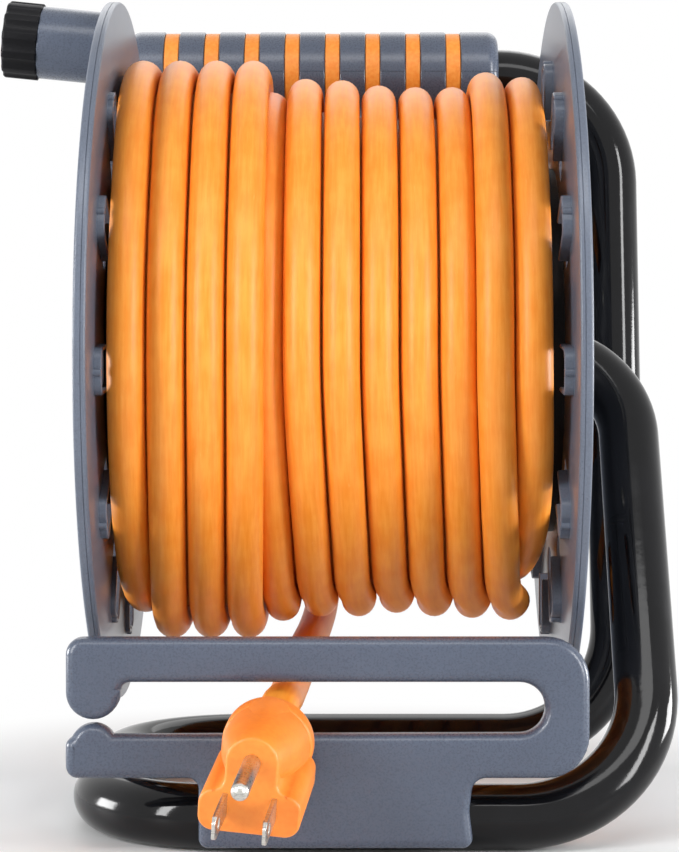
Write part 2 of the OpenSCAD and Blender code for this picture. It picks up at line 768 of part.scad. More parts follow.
module neutral_bus() color(brass) on_axle() bus_bar(-1, bus_depth + 2.5, -bus_cross);

module ground_bus() color(brass) on_axle() {
    t = 0.9;
    bar = 6;
    depth = bus_depth - 0.7;
    at_outlets() on_panel(0, slot_rise - ground_drop)
        ring_u(panel_in + 3, depth, ground_d / 2 + t, ground_d / 2 + 0.2);
    for (up = [-outlet_dz / 2, outlet_dz / 2]) on_panel(0, up + slot_rise - ground_drop)
        translate([-bar / 2, -outlet_dx / 2, depth - t]) cube([bar, outlet_dx, t]);
    translate([-outlet_dz / 2 - slot_rise + ground_drop, -bar / 2, depth - t]) cube([outlet_dz, bar, t]);
}

module breaker_body() color(dark) on_axle() difference() {
    translate([-breaker_w / 2, -breaker_w / 2, panel_in]) cube([breaker_w, breaker_w, breaker_back - panel_in]);
    ring_u(panel_in - cut, spring_base, button_flange_r + 0.3);
}

module breaker_spring() color(zinc) {
    coils = 5;
    wire = 0.5;
    r = button_flange_r - 1.6;
    start = panel_in + button_rest + button_flange_t + wire;
    end = spring_base - wire;
    route = [for (i = [0 : 8 * coils])
        [drum_x + mix(start, end, i / (8 * coils)), r * cos(45 * i), axle_h + r * sin(45 * i)]];
    swept_tube(route, wire, 6);
}

module reset_button() color(orange) on_axle() {
    ring_u(panel_face - button_proud, panel_in + button_rest + button_flange_t, button_d / 2);
    ring_u(panel_in + button_rest, panel_in + button_rest + button_flange_t, button_flange_r);
}

module lead_grommet() color(dark) on_axle() at_clock(lead_clock, 0) translate([0, 0, lead_u]) rotate([0, 90, 0])
    ring_u(lead_in_r, housing_r + 2, cord_d / 2 + 1.5, cord_d / 2);

module inner_lead() color(orange) on_axle() at_clock(lead_clock, 0) translate([0, 0, lead_u]) rotate([0, 90, 0])
    ring_u(lead_in_r - 1, core_r - 0.1, cord_d / 2);

// ---- Crank knob -----------------------------------------------------------

barrel_start = boss_h + knob_gap;
barrel_end = barrel_start + knob_len;
spigot_len = 6.5;
spigot_r = knob_d / 2 - 1.6;
pin_head_r = pin_d / 2 + 2.6;
pin_head_t = 2.5;
cap_end = barrel_end + cap_len;

module crank_pin() color(zinc) on_crank() {
    translate([0, 0, 0.5 - flange_t]) cylinder(r = pin_d / 2, h = flange_t - 0.5 + barrel_end + knob_gap);
    translate([0, 0, barrel_end + knob_gap]) cylinder(r = pin_head_r, h = pin_head_t);
}

module crank_barrel() color(slate) on_crank() difference() {
    union() {
        translate([0, 0, barrel_start]) cylinder(r = knob_d / 2, h = knob_len);
        translate([0, 0, barrel_end - 1]) cylinder(r = spigot_r, h = spigot_len + 1);
    }
    translate([0, 0, barrel_start - cut]) cylinder(r = pin_d / 2 + pin_fit, h = knob_len + 2 * cut);
    translate([0, 0, barrel_end]) cylinder(r = pin_head_r + 0.5, h = spigot_len + cut);
}

module crank_cap() color(dark) on_crank() difference() {
    r = cap_d / 2;
    round_r = 1.4;
    flute_r = 3.6;
    flute_depth = 0.8;
    translate([0, 0, barrel_end]) rotate_extrude() {
        square([r, cap_len - round_r]);
        square([r - round_r, cap_len]);
        translate([r - round_r, cap_len - round_r]) circle(r = round_r);
    }
    translate([0, 0, barrel_end - cut]) cylinder(r = spigot_r, h = spigot_len + cut);
    for (i = [0 : 11]) rotate([0, 0, 15 + i * 30]) translate([r + flute_r - flute_depth, 0, barrel_end - cut])
        cylinder(r = flute_r, h = cap_len + 2 * cut);
}

// ---- Free cord and plug ---------------------------------------------------

// The free end leaves the drum low at the back, runs forwards under it and
// through the guide's slot.
tail_route = [[-3.5, 44, 59.5], [-4.5, 31, 53.5], [-6, 16, 49.5], [-8, 0, 46.5], [-9.6, -16, 43.4],
    [-11, -34, 40.6], [-12, -50, 39.3], [-12.4, -65, 39.5], [-12.6, -80, 40.8], [-13.4, -90, 40.8],
    [-14.5, -101.5, 38.6]];
tail_steps = 2;
tail_sides = 12;

// A smooth curve through every point of a route.
function curve_point(p, i, t) = let (
    last = len(p) - 1,
    a = p[max(0, i - 1)],
    b = p[i],
    c = p[min(last, i + 1)],
    d = p[min(last, i + 2)])
    0.5 * (2 * b + t * (c - a) + t * t * (2 * a - 5 * b + 4 * c - d) + t * t * t * (3 * b - a - 3 * c + d));
function smooth_route(p, steps) = concat(
    [for (i = [0 : len(p) - 2]) for (s = [0 : steps - 1]) curve_point(p, i, s / steps)],
    [p[len(p) - 1]]);

module cord_tail() color(orange) swept_tube(smooth_route(tail_route, tail_steps), cord_d / 2, tail_sides);

plug_place = [-15.6, -108, 33.6];
plug_pitch = 12;
plug_yaw = 6.3;
plug_roll = 5.3;
disc_t = 6;
relief_len = 5;
relief_rise = 3.5;
face_low = -12.9;
shoulder_up = -1.5;
lobe_r = 6.8;
lobe_up = 6.5;
blade_drop = 5.3;
blade_w = 6.35;
blade_t = 1.5;
blade_seat = 4;
pin_up = ground_drop - blade_drop;
ground_pin_d = 4.75;
ground_pin_len = 21;
pin_root_r = 2;

// The plug's own frame: its blades point along -Y and its ground pin is up.
module on_plug() {
    translate(plug_place) rotate([plug_pitch, 0, -plug_yaw]) rotate([0, plug_roll, 0]) children();
}

module plug_outline() {
    half = plug_w / 2;
    round_bar(-half, face_low, half, shoulder_up, 4, 4);
    translate([-lobe_r, shoulder_up - 4]) square([2 * lobe_r, lobe_up - shoulder_up + 4]);
    translate([0, lobe_up]) circle(r = lobe_r);
    translate([lobe_r, shoulder_up]) inside_corner(3, 1, 1);
    translate([-lobe_r, shoulder_up]) inside_corner(3, -1, 1);
}

module disc_outline() {
    r = plug_disc_d / 2;
    edge = 1.6;
    square([r - edge, disc_t]);
    translate([0, edge]) square([r, disc_t - 2 * edge]);
    for (z = [edge, disc_t - edge]) translate([r - edge, z]) circle(r = edge);
}

module plug_body() color(orange) on_plug() difference() {
    union() {
        rotate([90, 0, 0]) linear_extrude(plug_len) plug_outline();
        rotate([90, 0, 0]) translate([0, 0, -disc_t / 2]) rotate_extrude() disc_outline();
        translate([0, disc_t / 2 - 0.5, relief_rise]) rotate([-90, 0, 0])
            cylinder(r1 = cord_d / 2 + 2, r2 = cord_d / 2 + 0.4, h = relief_len);
    }
    for (side = [-1, 1]) translate([side * slot_dx / 2, -plug_len, -blade_drop])
        translate([-blade_t / 2, 0, -blade_w / 2]) cube([blade_t, blade_seat, blade_w]);
    translate([0, -plug_len + blade_seat, pin_up]) rotate([90, 0, 0])
        cylinder(r = pin_root_r, h = blade_seat + cut);
}

module plug_blades() color(zinc) on_plug() for (side = [-1, 1])
    translate([side * slot_dx / 2 - blade_t / 2, -plug_len - blade_len, -blade_drop - blade_w / 2])
        cube([blade_t, blade_len + blade_seat, blade_w]);

module plug_ground_pin() color(zinc) on_plug() translate([0, -plug_len + blade_seat, pin_up]) rotate([90, 0, 0]) {
    pin_end = blade_seat + ground_pin_len - ground_pin_d / 2;
    cylinder(r = pin_root_r, h = blade_seat + 1);
    translate([0, 0, blade_seat + 0.2]) cylinder(r = ground_pin_d / 2, h = pin_end - blade_seat - 0.2);
    translate([0, 0, pin_end]) sphere(r = ground_pin_d / 2);
}

frame_tube();
handle_plug();
grip_upper();
grip_lower();
grip_bands();
grip_screws();
thrust_collar();
axle_plug();
axle_washer();
axle_bolt();
cord_guide();
guide_screws();
drum_core();
left_flange();
right_flange();
flange_screws();
left_bush();
right_bush();
cord_core();
cord_winding();
outlet_panel();
outlet_housing();
panel_screws();
line_bus();
neutral_bus();
ground_bus();
breaker_body();
breaker_spring();
lead_grommet();
inner_lead();
crank_pin();
crank_barrel();
crank_cap();
reset_button();
cord_tail();
plug_body();
plug_blades();
plug_ground_pin();
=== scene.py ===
"""Looks of an extension cord reel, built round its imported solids. Metres; Z up, Y to the back."""

import math

import bmesh
import bpy
from mathutils import Matrix, Vector, geometry


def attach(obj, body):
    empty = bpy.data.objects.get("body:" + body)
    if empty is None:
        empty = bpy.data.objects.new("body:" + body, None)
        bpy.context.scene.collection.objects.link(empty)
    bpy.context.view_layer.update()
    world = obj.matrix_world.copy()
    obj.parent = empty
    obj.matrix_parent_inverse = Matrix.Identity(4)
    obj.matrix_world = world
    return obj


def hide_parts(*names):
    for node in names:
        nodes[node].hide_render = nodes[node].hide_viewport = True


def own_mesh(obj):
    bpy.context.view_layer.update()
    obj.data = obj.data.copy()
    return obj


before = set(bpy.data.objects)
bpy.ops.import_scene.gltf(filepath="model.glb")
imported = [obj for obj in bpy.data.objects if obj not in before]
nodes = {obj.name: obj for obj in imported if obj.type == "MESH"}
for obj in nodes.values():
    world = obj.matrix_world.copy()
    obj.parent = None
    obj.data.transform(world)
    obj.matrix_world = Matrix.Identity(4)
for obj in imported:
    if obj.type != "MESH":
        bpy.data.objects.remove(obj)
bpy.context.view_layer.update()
scene = bpy.context.scene
scene.view_settings.view_transform = "Standard"

# Camera. It stands level with the axle, 0.75 m in front of it and a little to
# the right, and looks straight back. The shift sets the reel in the frame.
camera_data = bpy.data.cameras.new("camera")
camera_data.sensor_width = 36
camera_data.lens = 101.87
camera_data.shift_x = -0.03345
camera_data.shift_y = -0.0892
camera = bpy.data.objects.new("camera", camera_data)
camera.location = (0.01092, -0.749, 0.138)
camera.rotation_euler = (math.radians(90), 0, 0)
scene.collection.objects.link(camera)
scene.camera = camera


# Free cord. A three-core mains lead with an orange PVC jacket, 10.5 mm thick.
# It leaves the wound cord low at the back of the drum, runs forwards under it,
# and rests on the lower bar of the guide just before its plug.
def mm(*values):
    """A point given in millimetres."""
    return Vector(values) / 1000


class Shade:
    """A socket in a material. Arithmetic on it adds Math nodes, and add() makes any other node."""

    def __init__(self, tree, socket=None):
        self.tree = tree
        self.socket = socket

    def add(self, kind, settings=None, inputs=None, out=0):
        node = self.tree.nodes.new("ShaderNode" + kind)
        for name, value in (settings or {}).items():
            if name == "stops":
                for stop, (place, colour) in zip(node.color_ramp.elements, value):
                    stop.position = place
                    stop.color = colour
            else:
                setattr(node, name, value)
        for key, value in (inputs or {}).items():
            if isinstance(value, Shade):
                self.tree.links.new(value.socket, node.inputs[key])
            else:
                node.inputs[key].default_value = value
        return Shade(self.tree, node.outputs[out])

    def sum_of(self, operation, *terms):
        return self.add("Math", {"operation": operation}, dict(enumerate(terms)))

    def __add__(self, other):
        return self.sum_of("ADD", self, other)

    def __sub__(self, other):
        return self.sum_of("SUBTRACT", self, other)

    def __mul__(self, other):
        return self.sum_of("MULTIPLY", self, other)

    def __rsub__(self, other):
        return self.sum_of("SUBTRACT", other, self)

    def __gt__(self, other):
        return self.sum_of("GREATER_THAN", self, other)

    __radd__ = __add__
    __rmul__ = __mul__

    def over(self, low, high):
        """0 where this is below low, 1 where it is above high, and smooth between."""
        settings = {"interpolation_type": "SMOOTHSTEP"}
        return self.add("MapRange", settings, {0: self, 1: low, 2: high, 3: 0.0, 4: 1.0})

    def between(self, first, second):
        """The first colour where this is 0 and the second where it is 1."""
        return self.add("Mix", {"data_type": "RGBA"}, {0: self, 6: first, 7: second}, out=2)

    def noise(self, scale, detail=2.0, rough=0.5):
        """Cloudy noise on this point, about 0.5."""
        return self.add("TexNoise", {}, {"Vector": self, "Scale": scale, "Detail": detail, "Roughness": rough})

    def times(self, x, y, z):
        """This point, stretched along its axes."""
        return self.add("VectorMath", {"operation": "MULTIPLY"}, {0: self, 1: (x, y, z)})

    def bump(self, depth, under=None):
        """A normal raised by this height, over the one given."""
        inputs = {"Strength": 1.0, "Distance": depth, "Height": self}
        if under is not None:
            inputs["Normal"] = under
        return self.add("Bump", {}, inputs)


def colour(red, green, blue):
    """A screen colour out of 255, as the linear colour that the shader takes."""
    return (*(((v / 255 + 0.055) / 1.055) ** 2.4 for v in (red, green, blue)), 1.0)


def finish(name, coordinates="Object"):
    """A new material, with the point on the piece that its patterns are drawn by."""
    made = bpy.data.materials.new(name)
    made.use_nodes = True
    start = Shade(made.node_tree)
    return made, start.add("TexCoord", {}, {}, out=coordinates)


def dress(made, **sockets):
    """Sets or links the sockets of a material's surface, named with _ for a space."""
    surface = made.node_tree.nodes["Principled BSDF"]
    for name, value in sockets.items():
        socket = surface.inputs[name.replace("_", " ")]
        if isinstance(value, Shade):
            made.node_tree.links.new(value.socket, socket)
        else:
            socket.default_value = value
    return made


def shown(name, shape, body, *made, slot=None, sharp=40, place=None):
    """Puts a bmesh in the scene as one piece on a body, smooth but for its sharp edges."""
    if place is not None:
        shape.transform(place)
    bmesh.ops.recalc_face_normals(shape, faces=shape.faces)
    mesh = bpy.data.meshes.new(name)
    shape.to_mesh(mesh)
    shape.free()
    mesh.shade_smooth()
    mesh.set_sharp_from_angle(angle=math.radians(sharp))
    for one in made:
        mesh.materials.append(one)
    piece = bpy.data.objects.new(name, mesh)
    scene.collection.objects.link(piece)
    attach(piece, body)
    return piece


def drawn(route, radius, sides=24):
    """A round tube along a route, closed at both ends. Its UV runs along it in metres, and round it."""
    shape = bmesh.new()
    uv = shape.loops.layers.uv.new("UVMap")
    along = [(b - a).normalized() for a, b in zip(route, route[1:])]
    along = [along[0]] + [(a + b).normalized() for a, b in zip(along, along[1:])] + [along[-1]]
    side = along[0].orthogonal().normalized()
    rings, lengths = [], [0.0]
    for a, b in zip(route, route[1:]):
        lengths.append(lengths[-1] + (b - a).length)
    for point, way in zip(route, along):
        side = (side - way * side.dot(way)).normalized()
        up = way.cross(side)
        turns = [math.tau * i / sides for i in range(sides)]
        rings.append([shape.verts.new(point + radius * (math.cos(t) * side + math.sin(t) * up)) for t in turns])
    for i, (one, two) in enumerate(zip(rings, rings[1:])):
        for j in range(sides):
            k = (j + 1) % sides
            face = shape.faces.new((one[j], one[k], two[k], two[j]))
            corners = ((i, j), (i, j + 1), (i + 1, j + 1), (i + 1, j))
            for loop, (a, b) in zip(face.loops, corners):
                loop[uv].uv = (lengths[a], b / sides)
    shape.faces.new(reversed(rings[0]))
    shape.faces.new(rings[-1])
    return shape


def eased(points, steps):
    """A smooth curve through every point."""
    ends = [2 * points[0] - points[1], *points, 2 * points[-1] - points[-2]]
    out = []
    for a, b, c, d in zip(ends, ends[1:], ends[2:], ends[3:]):
        for t in (i / steps for i in range(steps)):
            out.append(0.5 * (2 * b + t * (c - a) + t * t * (2 * a - 5 * b + 4 * c - d)
                              + t ** 3 * (3 * b - a - 3 * c + d)))
    return out + [points[-1]]


jacket, along_cord = finish("cord_jacket", "UV")
streaks = along_cord.times(14, 5, 1).noise(6, 3.0, 0.6)
mottle = along_cord.times(60, 2, 1).noise(2, 2.0)
scuffs = along_cord.times(35, 9, 1).noise(5, 4.0, 0.7).over(0.62, 0.72)
cord_colour = (streaks * 0.6 + mottle * 0.4).over(0.3, 0.7).between(colour(240, 138, 36), colour(249, 159, 60))
dress(
    jacket,
    Base_Color=(scuffs * 0.35).between(cord_colour, colour(251, 176, 98)),
    Roughness=0.36 + streaks * 0.14 + scuffs * 0.1,
    Specular_IOR_Level=0.4,
    Normal=(streaks * 0.7 + along_cord.times(900, 40, 1).noise(1, 1.0) * 0.3).bump(0.00006),
)

cord_d = 0.0105
tail_route = eased([
    mm(-1.5, 62, 83), mm(-2.6, 53.5, 69.5), mm(-3.5, 44, 59.5), mm(-4.5, 31, 53.5), mm(-6, 16, 49.5),
    mm(-8, 0, 46.5), mm(-9.6, -16, 43.4), mm(-11, -34, 40.6), mm(-12, -50, 39.3), mm(-12.4, -65, 39.5),
    mm(-12.6, -80, 40.8), mm(-13.4, -90, 40.8), mm(-14.5, -101.5, 38.6),
], 8)
tail_length = sum((b - a).length for a, b in zip(tail_route, tail_route[1:]))
free_cord = shown("free_cord", drawn(tail_route, cord_d / 2), "frame", jacket, slot="cord", sharp=60)
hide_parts("cord_tail")


# Wound cord. The rest of the lead, in layers on the drum's core. Twelve turns
# of the outer layer show; turn five sinks between its neighbours at the front,
# and the last one slips under the turn before it.
drum_x, axle_h, core_r, flange_in = 0.0016, 0.138, 0.056, 0.066
over_top = [2.67, 2.67, 2.67, 2.67, 2.67, 1.75, 2.14, 2.1, 1.95, 1.9, 1.9, 2.33, 2.19, 0.5]
under_bottom = [1.86, 1.86, 2.62, 2.62, 2.62, 2.14, 2, 2, 1.9, 2, 2.05, 2.1, 0.95]
turn_count = 12
turn_pitch = cord_d + 0.0005
first_turn_u = cord_d / 2 + 0.00125 - flange_in
last_turn_u = flange_in - cord_d / 2 - 0.00425


def ease(t):
    t = min(1, max(0, t))
    return t * t * (3 - 2 * t)


def mix(a, b, t):
    return a + (b - a) * t


def turn_r(k, a):
    """The distance of turn k from the axle, at an angle from the top over the front."""
    top, bottom = over_top[k], under_bottom[k]
    if a <= 180:
        return core_r + cord_d * mix(top, bottom, ease((a - 90) / 90))
    return core_r + cord_d * mix(bottom, over_top[k + 1], ease((a - 180) / (180 if k < turn_count else 60)))


def turn_step(k, a):
    return math.sqrt(max(0, turn_pitch**2 - (turn_r(k + 1, a) - turn_r(k, a)) ** 2))


def steps_to(k, a):
    return sum(turn_step(j, a) for j in range(1, k))


def first_u(a):
    return first_turn_u + (0.0019 * ease(a / 65) if a < 90 else mix(0.0019, 0.0008, ease((a - 90) / 90)))


def last_u(a):
    if a < 90:
        return last_turn_u - 0.0009 * ease(a / 65)
    return last_turn_u + mix(mix(-0.0009, -0.0001, ease((a - 90) / 30)), -0.003, ease((a - 130) / 40))


def front_u(k, a):
    share = (last_u(a) - first_u(a) - steps_to(turn_count, a)) / (turn_count - 1)
    return first_u(a) + steps_to(k, a) + (k - 1) * share


def back_u(k, a):
    t = ease((a - 180) / 180)
    left = mix(first_u(180), front_u(2, 0), t)
    right = mix(front_u(turn_count - 1, 180), last_u(0), t)
    return left + steps_to(k, a) + (k - 1) * (right - left - steps_to(turn_count - 1, a)) / (turn_count - 2)


def turn_u(k, a):
    return front_u(k, a) if a <= 180 else back_u(k, a)


def climbing_r(a):
    """The height of the cord as it comes up along the flange to the first turn."""
    return turn_r(1, a) - math.sqrt(max(0, turn_pitch**2 - (back_u(1, a) - first_turn_u) ** 2))


def on_drum(u, r, a):
    """A point on the drum, at an angle from the top over the front."""
    return Vector((drum_x + u, -r * math.sin(math.radians(a)), axle_h + r * math.cos(math.radians(a))))


step_angle, nest_depth = 3.75, 0.0097
outer_layer, under_layer = [], []
for step in range(54, 1220):
    k, a = divmod(step * step_angle, 360)
    k = int(k)
    if k == 0:
        outer_layer.append(on_drum(first_turn_u, climbing_r(a), a))
        continue
    outer_layer.append(on_drum(turn_u(k, a), turn_r(k, a), a))
    if k < turn_count:
        nested = min(turn_r(k, a), turn_r(k + 1, a)) - nest_depth
        under_layer.append(on_drum((turn_u(k, a) + turn_u(k + 1, a)) / 2, nested, a))
wound_cord = shown("wound_cord", drawn(outer_layer, cord_d / 2), "drum", jacket, slot="cord", sharp=60)
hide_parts("cord_winding")
shown("inner_turns", drawn(under_layer, cord_d / 2, 16), "drum", jacket, slot="cord", sharp=60)


# Inner cord. The layers under those two, as one ridged sleeve on the core. The
# core is black, and shows at the far end of the sleeve. At the crank end the ridged
# cord itself is black too, as painted shade for the deep shadow next to the flange.
phenolic, on_panel = finish("black_plastic")
fine = on_panel.noise(1300, 2.0)
haze = on_panel.noise(45, 2.0)
dress(
    phenolic,
    Base_Color=(fine * 0.5 + haze * 0.5).over(0.3, 0.7).between(colour(10, 10, 12), colour(18, 18, 21)),
    Roughness=0.34 + fine * 0.14,
    Specular_IOR_Level=0.15,
    Normal=fine.bump(0.00008),
)


def turned(profile, steps=128):
    """A round solid, from (radius, height) points about its own Z axis."""
    shape = bmesh.new()
    rings = []
    for i in range(steps):
        t = math.tau * i / steps
        rings.append([shape.verts.new((r * math.cos(t), r * math.sin(t), h)) for r, h in profile])
    for one, two in zip(rings, rings[1:] + rings[:1]):
        for a, b, c, d in zip(one, one[1:] + one[:1], two[1:] + two[:1], two):
            shape.faces.new((a, b, c, d))
    bmesh.ops.remove_doubles(shape, verts=shape.verts, dist=1e-7)
    bmesh.ops.dissolve_degenerate(shape, edges=shape.edges, dist=1e-7)
    return shape


# Clock angles on the drum run from the front, upwards and over; its own Z axis
# points out through the crank side.
drum_place = Matrix(((0, 0, -1, drum_x), (-1, 0, 0, 0), (0, 1, 0, axle_h), (0, 0, 0, 1)))
sleeve_end, sleeve_in, bare_r = flange_in - 0.0002, core_r - 0.0005, 0.0562
painted_shade_below, cord_to = -0.0615, 0.058
layers = [(-0.047, 0.0605), (-0.029, 0.064), (0.044, 0.0585)]
ridges = [(sleeve_in, sleeve_end), (sleeve_in, -sleeve_end)]
for i in range(265):
    u = i * 0.00049925 - sleeve_end
    low = next((r for end, r in layers if u < end), bare_r)
    ridge = math.sqrt(max(0, (cord_d / 2) ** 2 - ((u + flange_in) % turn_pitch - turn_pitch / 2) ** 2))
    ridges.append((low + ridge * 0.9 if u < cord_to else bare_r, u))
sleeve_shape = turned([(r, -u) for r, u in ridges], 96)
# Faces past either bound get the black plastic. At the crank end it lies over the ridged cord, as painted shade;
# past cord_to it is the bare core.
for face in sleeve_shape.faces:
    face.material_index = int(not painted_shade_below < -face.calc_center_median().z < cord_to)
inner_cord = shown("inner_cord", sleeve_shape, "drum", jacket, phenolic, slot="cord", sharp=60, place=drum_place)
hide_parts("cord_core")


# Stand. One 18 mm steel tube, bent cold, powder coated in gloss black. It is
# the base loop on the ground, both risers, the axle and the carrying handle.
powder, on_tube = finish("black_powder_coat")
orange_peel = on_tube.noise(420, 2.0)
wear = on_tube.noise(38, 4.0, 0.65)
dress(
    powder,
    Base_Color=wear.over(0.35, 0.75).between(colour(8, 8, 10), colour(14, 14, 17)),
    Roughness=0.08 + wear.over(0.4, 0.8) * 0.08,
    Normal=(orange_peel * 0.8 + on_tube.noise(1500, 1.0) * 0.2).bump(0.00002),
    Specular_IOR_Level=0.28,
)


def bend(a, b, c, radius, steps):
    """The points of an arc that rounds the corner at b."""
    back, on = (a - b).normalized(), (c - b).normalized()
    half = back.angle(on) / 2
    middle = b + (back + on).normalized() * radius / math.sin(half)
    start = b + back * radius / math.tan(half) - middle
    end = b + on * radius / math.tan(half) - middle
    whole = start.angle(end)
    turns = [whole * i / steps for i in range(steps + 1)]
    return [middle + (math.sin(whole - t) * start + math.sin(t) * end) / math.sin(whole) for t in turns]


def bent(corners, radii, steps=20):
    """The middle line of a tube, straight between corners and bent round at each one."""
    line = [corners[0]]
    for a, b, c, radius in zip(corners, corners[1:], corners[2:], radii):
        line += bend(a, b, c, radius, steps)
    return line + [corners[-1]]


tube_line = bent([
    mm(-68.6, 83, 232.5), mm(93.8, 83, 232.5), mm(93.8, 46, 9), mm(-65.8, 46, 9), mm(-65.8, -82.5, 9),
    mm(90.1, -82.5, 9), mm(90.1, 0, 138), mm(-30.2, 0, 138),
], 5 * [0.038] + [0.031])
tube_r = 0.009
stand = shown("stand_tube", drawn(tube_line, tube_r, 48), "frame", powder, slot="tube", sharp=60)
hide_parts("frame_tube")


# Zinc-plated steel: the screws, the collar and washer that hold the drum on
# its axle, the axle's plug and bolt, and the pin in the crank.
zinc, on_zinc = finish("zinc_plate")
plating = on_zinc.noise(260, 4.0, 0.7)
dress(
    zinc,
    Base_Color=plating.over(0.3, 0.7).between(colour(176, 178, 180), colour(206, 205, 200)),
    Metallic=1.0,
    Roughness=0.24 + plating * 0.18,
    Normal=on_zinc.times(1, 1, 9).noise(700, 2.0).bump(0.00003),
)


def repaint(made, *names):
    """Gives solids that keep their shape a finish."""
    for name in names:
        mesh = nodes[name].data
        mesh.materials.clear()
        mesh.materials.append(made)


def round_edges(width, *names):
    """Breaks the sharp edges of solids that keep their shape."""
    for name in names:
        weld = nodes[name].modifiers.new("weld", "WELD")
        weld.merge_threshold = 0.00001
        edge = nodes[name].modifiers.new("edge", "BEVEL")
        edge.width = width
        edge.segments = 2
        edge.limit_method = "ANGLE"
        edge.angle_limit = math.radians(50)
        edge.harden_normals = True


repaint(zinc, "thrust_collar", "axle_plug", "axle_washer", "axle_bolt", "crank_pin")


# Handle grip. Two half shells of moulded slate-blue plastic, closed round the
# tube by four screws from below, with eight soft orange bands in grooves.
slate, on_slate = finish("slate_plastic")
grain = on_slate.noise(1600, 2.0, 0.6)
pearl = on_slate.noise(3400, 1.0).over(0.6, 0.72)
cloud = on_slate.noise(30, 2.0)
slate_colour = (grain * 0.6 + cloud * 0.4).over(0.3, 0.7).between(colour(70, 78, 94), colour(80, 89, 106))
dress(
    slate,
    Base_Color=(pearl * 0.2).between(slate_colour, colour(136, 144, 160)),
    Roughness=0.22 + grain * 0.12 - pearl * 0.06,
    Normal=grain.bump(0.00003),
)
soft_orange, on_band = finish("soft_band")
nap = on_band.noise(900, 2.0)
dress(
    soft_orange,
    Base_Color=nap.over(0.3, 0.7).between(colour(244, 140, 44), colour(251, 160, 66)),
    Roughness=0.42 + nap * 0.12,
    Normal=nap.bump(0.00005),
)


def arc(x, y, r, start, end, steps=8):
    """Points on a circle, from one angle to another in degrees."""
    turns = [math.radians(start + (end - start) * i / steps) for i in range(steps + 1)]
    return [(x + r * math.cos(t), y + r * math.sin(t)) for t in turns]


grip_x, grip_y, grip_z, grip_len, grip_r, grip_bore = -0.0716, 0.083, 0.2325, 0.127, 0.015, 0.0091
groove_r, lead_in = grip_r - 0.0014, 0.0003
bands = [(0.013 + i * 0.0137, 0.0182 + i * 0.0137) for i in range(8)]
shell = [(0.0001, 0.0)] + arc(grip_r - 0.005, 0.005, 0.005, -90, 0)
for low, high in bands:
    shell += [(grip_r, low - lead_in), (grip_r - lead_in, low), (groove_r, low)]
    shell += [(groove_r, high), (grip_r - lead_in, high), (grip_r, high + lead_in)]
shell += arc(grip_r - 0.004, grip_len - 0.004, 0.004, 0, 90)
shell += [(grip_bore, grip_len), (grip_bore, 0.003), (0.0001, 0.003)]
lying = Matrix.Translation((grip_x, grip_y, grip_z)) @ Matrix.Rotation(math.radians(90), 4, "Y")


def halved(shape, sign):
    """Keeps the half of a round solid above or below its middle, 0.05 mm short of it."""
    kept = shape.verts[:] + shape.edges[:] + shape.faces[:]
    cut = bmesh.ops.bisect_plane(
        shape, geom=kept, plane_co=(-0.00005 * sign, 0, 0), plane_no=(sign, 0, 0), clear_outer=True)
    rims = [e for e in cut["geom_cut"] if isinstance(e, bmesh.types.BMEdge)]
    bmesh.ops.holes_fill(shape, edges=rims, sides=0)
    return shape


for name, sign in (("grip_upper", 1), ("grip_lower", -1)):
    half = halved(turned(shell), sign)
    half = shown(name + "_shell", half, "frame", slate, slot="housing_plastic", place=lying)
    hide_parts(name)
band_round, band_middle = 0.0006, grip_r - 0.0011
for i, (low, high) in enumerate(bands):
    crown = arc(band_middle, low + band_round, band_round, -90, 0, 4)
    crown += arc(band_middle, high - band_round, band_round, 0, 90, 4)
    ring = turned([(groove_r, low)] + crown + [(groove_r, high)])
    band = shown(f"grip_band_{i + 1}", ring, "frame", soft_orange, slot="band", place=lying)
    if i == 0:
        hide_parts("grip_bands")


# Cord guide. One slate-blue moulding, screwed to the front rail from behind.
# The cord is pressed in past two knobs at its open end, and runs in the slot.
def rounded(corners, steps=8):
    """An outline in millimetres, from (x, y, radius) corners, in metres."""
    points = [Vector(corner[:2]) for corner in corners]
    line = []
    for a, b, c, (_, _, r) in zip(points[-1:] + points[:-1], points, points[1:] + points[:1], corners):
        line += bend(a, b, c, r, steps) if r else [b]
    return [point / 1000 for point in line]


def inset(line, by):
    """An outline moved to its left by a distance."""
    out = []
    for a, b, c in zip(line[-1:] + line[:-1], line, line[1:] + line[:1]):
        one, two = (b - a).normalized(), (c - b).normalized()
        across = Vector((-one.y - two.y, one.x + two.x))
        out.append(b + across * by / max(0.3, 1 + one.dot(two)))
    return out


def plate(outlines, low, high, edge, steps=5, low_edge=None):
    """A flat solid between two heights, with rounded edges. Outlines run left-handed round holes."""
    shape = bmesh.new()
    low_edge = edge if low_edge is None else low_edge
    levels = []
    for i in range(steps + 1):
        t = math.radians(90 * i / steps)
        levels.append((low_edge * (1 - math.sin(t)), low + low_edge * (1 - math.cos(t))))
    for i in range(steps + 1):
        t = math.radians(90 * i / steps)
        levels.append((edge * (1 - math.cos(t)), high - edge * (1 - math.sin(t))))
    stacks = []
    for line in outlines:
        rings = []
        for by, height in levels:
            moved = inset(line, by)
            rings.append([shape.verts.new((p.x, p.y, height)) for p in moved])
        for one, two in zip(rings, rings[1:]):
            for a, b, c, d in zip(one, one[1:] + one[:1], two[1:] + two[:1], two):
                shape.faces.new((a, b, c, d))
        stacks.append(rings)
    for level, flip in ((0, True), (-1, False)):
        loops = [rings[level] for rings in stacks]
        flat = [v for loop in loops for v in loop]
        for face in geometry.tessellate_polygon([[v.co.to_2d().to_3d() for v in loop] for loop in loops]):
            corners = [flat[i] for i in face]
            if len(set(corners)) == 3:
                shape.faces.new(reversed(corners) if flip else corners)
    bmesh.ops.dissolve_degenerate(shape, edges=shape.edges, dist=1e-7)
    return shape


